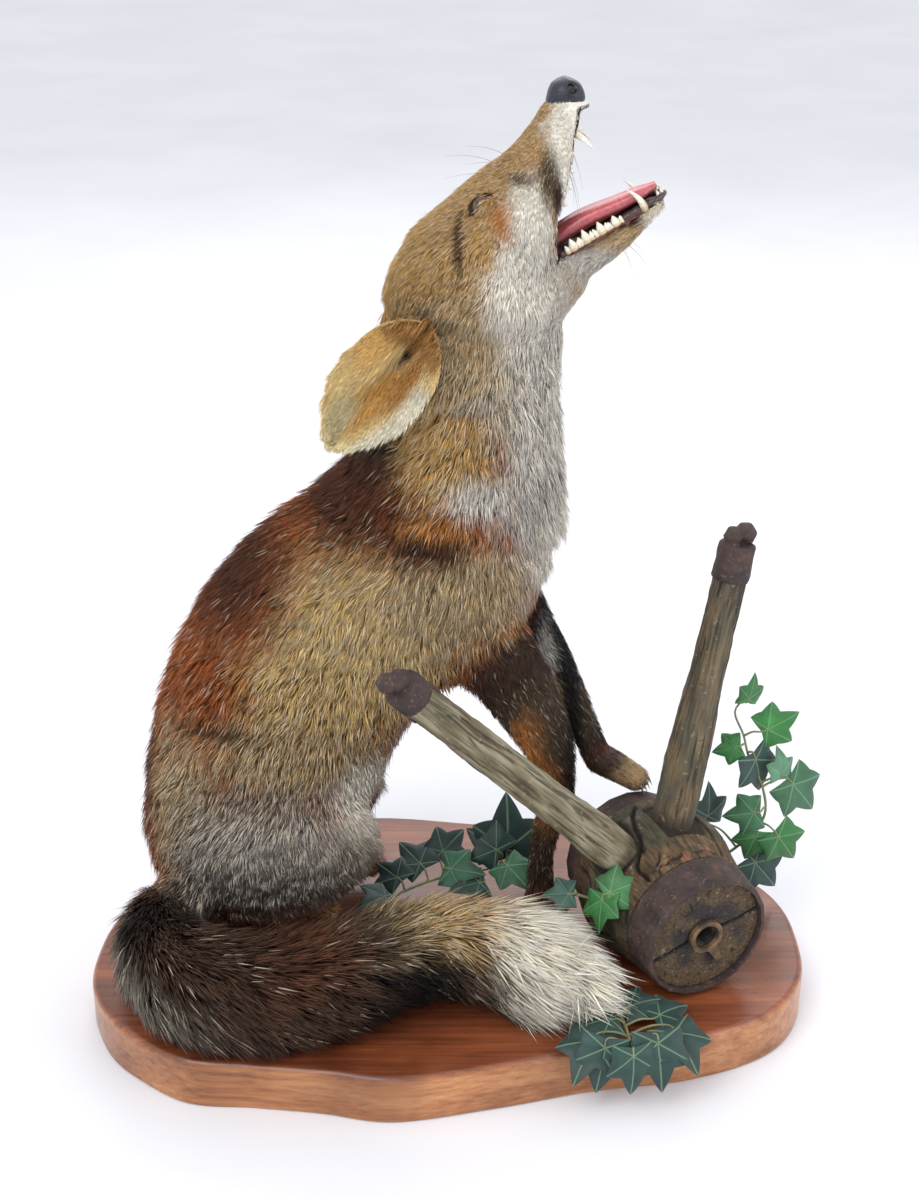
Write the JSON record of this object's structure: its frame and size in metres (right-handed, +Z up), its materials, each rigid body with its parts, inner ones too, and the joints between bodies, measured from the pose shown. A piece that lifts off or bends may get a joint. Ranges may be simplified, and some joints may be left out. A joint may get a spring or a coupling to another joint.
{
  "type": "red fox taxidermy mount",
  "caption": "Still museum mount of a red fox, seated with its head raised and jaws open, one forepaw on an old spoked wheel hub, on a natural-edged wooden slab with artificial ivy.",
  "frame": {"origin": "middle of the wooden slab's underside, on the surface it stands on", "axes": "+Z up; the fox faces +X; the fox's left side is +Y and its right side is -Y"},
  "size_m": [0.4994, 0.3125, 0.6087],
  "materials": {
    "oak": "varnished reddish-brown hardwood with grain",
    "hub_wood": "aged, cracked, dark olive-brown",
    "spoke_wood": "weathered grey-tan",
    "iron": "rusted dark brown",
    "russet_fur": "red-brown and straw-gold fox coat",
    "grey_fur": "grizzled grey-white fox coat",
    "black_fur": "black-brown fox coat",
    "white_fur": "cream-white tail tip",
    "ear_cream": "cream hair inside, dark behind",
    "nose": "bluish-black, slightly glossy",
    "mouth": "pink modelled mouth",
    "tooth": "ivory",
    "eye": "dark amber artificial eye",
    "ivy": "green artificial leaves with pale veins"
  },
  "bodies": {
    "root": {"base_board": "oak", "hub_barrel": "hub_wood", "hub_band_front": "iron", "hub_band_rear": "iron", "hub_keeper": "iron", "spoke_upright": "spoke_wood", "spoke_upright_ferrule": "iron", "spoke_leaning": "spoke_wood", "spoke_leaning_ferrule": "iron", "fox_nose": "nose", "fox_tongue": "mouth", "fox_eye_right": "eye", "fox_eye_left": "eye", "fox_head": "russet_fur", "fox_lower_jaw": "grey_fur", "fox_upper_teeth": "tooth", "fox_lower_teeth": "tooth", "fox_neck": "grey_fur", "fox_ear_right": "ear_cream", "fox_ear_left": "ear_cream", "fox_foreleg_right": "black_fur", "fox_foreleg_left": "black_fur", "fox_forepaw_right": "black_fur", "fox_forepaw_left": "black_fur", "fox_hind_leg_right": "grey_fur", "fox_hind_leg_left": "grey_fur", "fox_trunk": "russet_fur", "fox_tail_root": "russet_fur", "fox_tail_middle": "black_fur", "fox_tail_tip": "white_fur", "ivy_right": "ivy", "ivy_front": "ivy", "ivy_back": "ivy", "ivy_hub": "ivy"}
  },
  "joints": []
}
